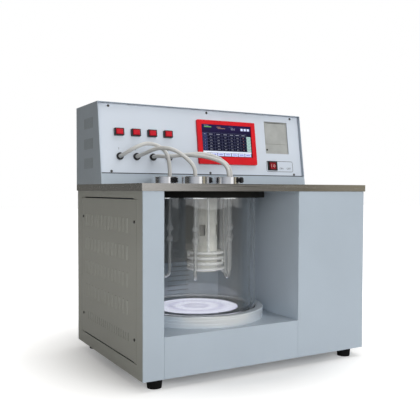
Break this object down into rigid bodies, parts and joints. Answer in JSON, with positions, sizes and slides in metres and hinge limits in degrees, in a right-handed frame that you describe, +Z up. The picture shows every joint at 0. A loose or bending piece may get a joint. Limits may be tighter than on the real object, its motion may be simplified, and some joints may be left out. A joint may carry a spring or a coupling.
{
  "type": "kinematic viscometer",
  "caption": "Bench-top kinematic viscometer: steel cabinet with an open bay round a lit double glass jar, hanging U-tube viscometers, and a sloping console with screen, printer and hoses.",
  "frame": {"origin": "on the bench under the middle of the cabinet, level with the feet's undersides", "axes": "+Z up, the open bay and the console's panel face -Y, +X to the right seen from the front"},
  "size_m": [0.6048, 0.4318, 0.629],
  "materials": {
    "body_paint": "satin powder coat",
    "liner_paint": "satin powder coat",
    "panel_paint": "smooth satin film",
    "steel": "brushed",
    "chrome": "polished",
    "rubber": "matte",
    "black_plastic": "matte",
    "red_plastic": "semi-gloss",
    "dark_red_plastic": "semi-gloss",
    "display": "glossy",
    "printer_plastic": "fine grain",
    "paper": "matte",
    "diffuser": "opal",
    "glass": "clear",
    "motor_metal": "matte",
    "board_green": "satin",
    "hose_silicone": "translucent"
  },
  "bodies": {
    "cabinet": {"base_pan": "body_paint", "bay_floor": "body_paint", "bay_liner": "liner_paint", "button_housings": "black_plastic", "console_rear_panel": "body_paint", "console_shell": "body_paint", "control_board": "board_green", "control_panel": "panel_paint", "front_left_pillar": "body_paint", "front_sill": "body_paint", "guide_tube": "steel", "heater_coil": "chrome", "holder_rings": "chrome", "hose_1": "hose_silicone", "hose_2": "hose_silicone", "hose_3": "hose_silicone", "hose_4": "hose_silicone", "hose_fittings": "black_plastic", "inner_glass_jar": "glass", "jar_base_flange": "steel", "jar_seal": "rubber", "jar_top_ring": "black_plastic", "left_louvre_panel": "body_paint", "left_side_frame": "body_paint", "light_disc": "diffuser", "outer_glass_sleeve": "glass", "paper_roll": "paper", "power_inlet": "black_plastic", "power_supply": "motor_metal", "power_switch_housing": "black_plastic", "printer_case": "printer_plastic", "rear_panel": "body_paint", "right_front_panel": "body_paint", "right_side_panel": "body_paint", "rubber_feet": "rubber", "screen_bezel": "red_plastic", "screws": "steel", "stirrer_motor": "motor_metal", "temperature_probe": "steel", "touch_screen": "display", "vacuum_pump": "motor_metal", "viscometer_1": "glass", "viscometer_2": "glass", "viscometer_3": "glass", "viscometer_4": "glass", "viscometer_plugs": "black_plastic", "worktop": "steel"},
    "button_cap_1": {"button_cap_1": "red_plastic"},
    "button_cap_2": {"button_cap_2": "red_plastic"},
    "button_cap_3": {"button_cap_3": "red_plastic"},
    "button_cap_4": {"button_cap_4": "red_plastic"},
    "thumbscrew_1": {"thumbscrew_1": "black_plastic"},
    "thumbscrew_2": {"thumbscrew_2": "black_plastic"},
    "thumbscrew_3": {"thumbscrew_3": "black_plastic"},
    "thumbscrew_4": {"thumbscrew_4": "black_plastic"},
    "stirrer": {"stirrer_shaft": "steel", "stirrer_propeller": "steel"},
    "power_rocker": {"power_rocker": "dark_red_plastic"},
    "printer_door": {"printer_door": "printer_plastic"},
    "printer_feed_button": {"printer_feed_button": "black_plastic"}
  },
  "joints": [
    {"name": "button_1_press", "type": "slide", "parent": "cabinet", "child": "button_cap_1", "axis": [0, 0.9899, -0.1421], "range_m": [0, 0.0022], "stiffness_N_per_m": 300},
    {"name": "button_2_press", "type": "slide", "parent": "cabinet", "child": "button_cap_2", "axis": [0, 0.9899, -0.1421], "range_m": [0, 0.0022], "stiffness_N_per_m": 300},
    {"name": "button_3_press", "type": "slide", "parent": "cabinet", "child": "button_cap_3", "axis": [0, 0.9899, -0.1421], "range_m": [0, 0.0022], "stiffness_N_per_m": 300},
    {"name": "button_4_press", "type": "slide", "parent": "cabinet", "child": "button_cap_4", "axis": [0, 0.9899, -0.1421], "range_m": [0, 0.0022], "stiffness_N_per_m": 300},
    {"name": "thumbscrew_1_turn", "type": "hinge", "parent": "cabinet", "child": "thumbscrew_1", "pos_m": [-0.15644, -0.06151, 0.44], "axis": [0.1736, -0.9848, 0], "range_deg": [0, 720]},
    {"name": "thumbscrew_2_turn", "type": "hinge", "parent": "cabinet", "child": "thumbscrew_2", "pos_m": [-0.0875, -0.10361, 0.44], "axis": [1, 0, 0], "range_deg": [0, 720]},
    {"name": "thumbscrew_3_turn", "type": "hinge", "parent": "cabinet", "child": "thumbscrew_3", "pos_m": [-0.0185, -0.13132, 0.44], "axis": [0.5, -0.866, 0], "range_deg": [0, 720]},
    {"name": "thumbscrew_4_turn", "type": "hinge", "parent": "cabinet", "child": "thumbscrew_4", "pos_m": [0.04, -0.03, 0.44], "axis": [1, 0, 0], "range_deg": [0, 720]},
    {"name": "stirrer_spin", "type": "hinge", "parent": "cabinet", "child": "stirrer", "pos_m": [-0.058, -0.041, 0.358], "axis": [0, 0, 1], "continuous": true},
    {"name": "power_rocker_tilt", "type": "hinge", "parent": "cabinet", "child": "power_rocker", "pos_m": [0.20015, 0.04358, 0.48402], "axis": [0, -0.1421, -0.9899], "range_deg": [0, 14]},
    {"name": "printer_door_swing", "type": "hinge", "parent": "cabinet", "child": "printer_door", "pos_m": [0.22125, 0.06102, 0.6034], "axis": [-1, 0, 0], "range_deg": [0, 90]},
    {"name": "printer_feed_press", "type": "slide", "parent": "cabinet", "child": "printer_feed_button", "axis": [0, 0.9899, -0.1421], "range_m": [0, 0.001], "stiffness_N_per_m": 300}
  ]
}
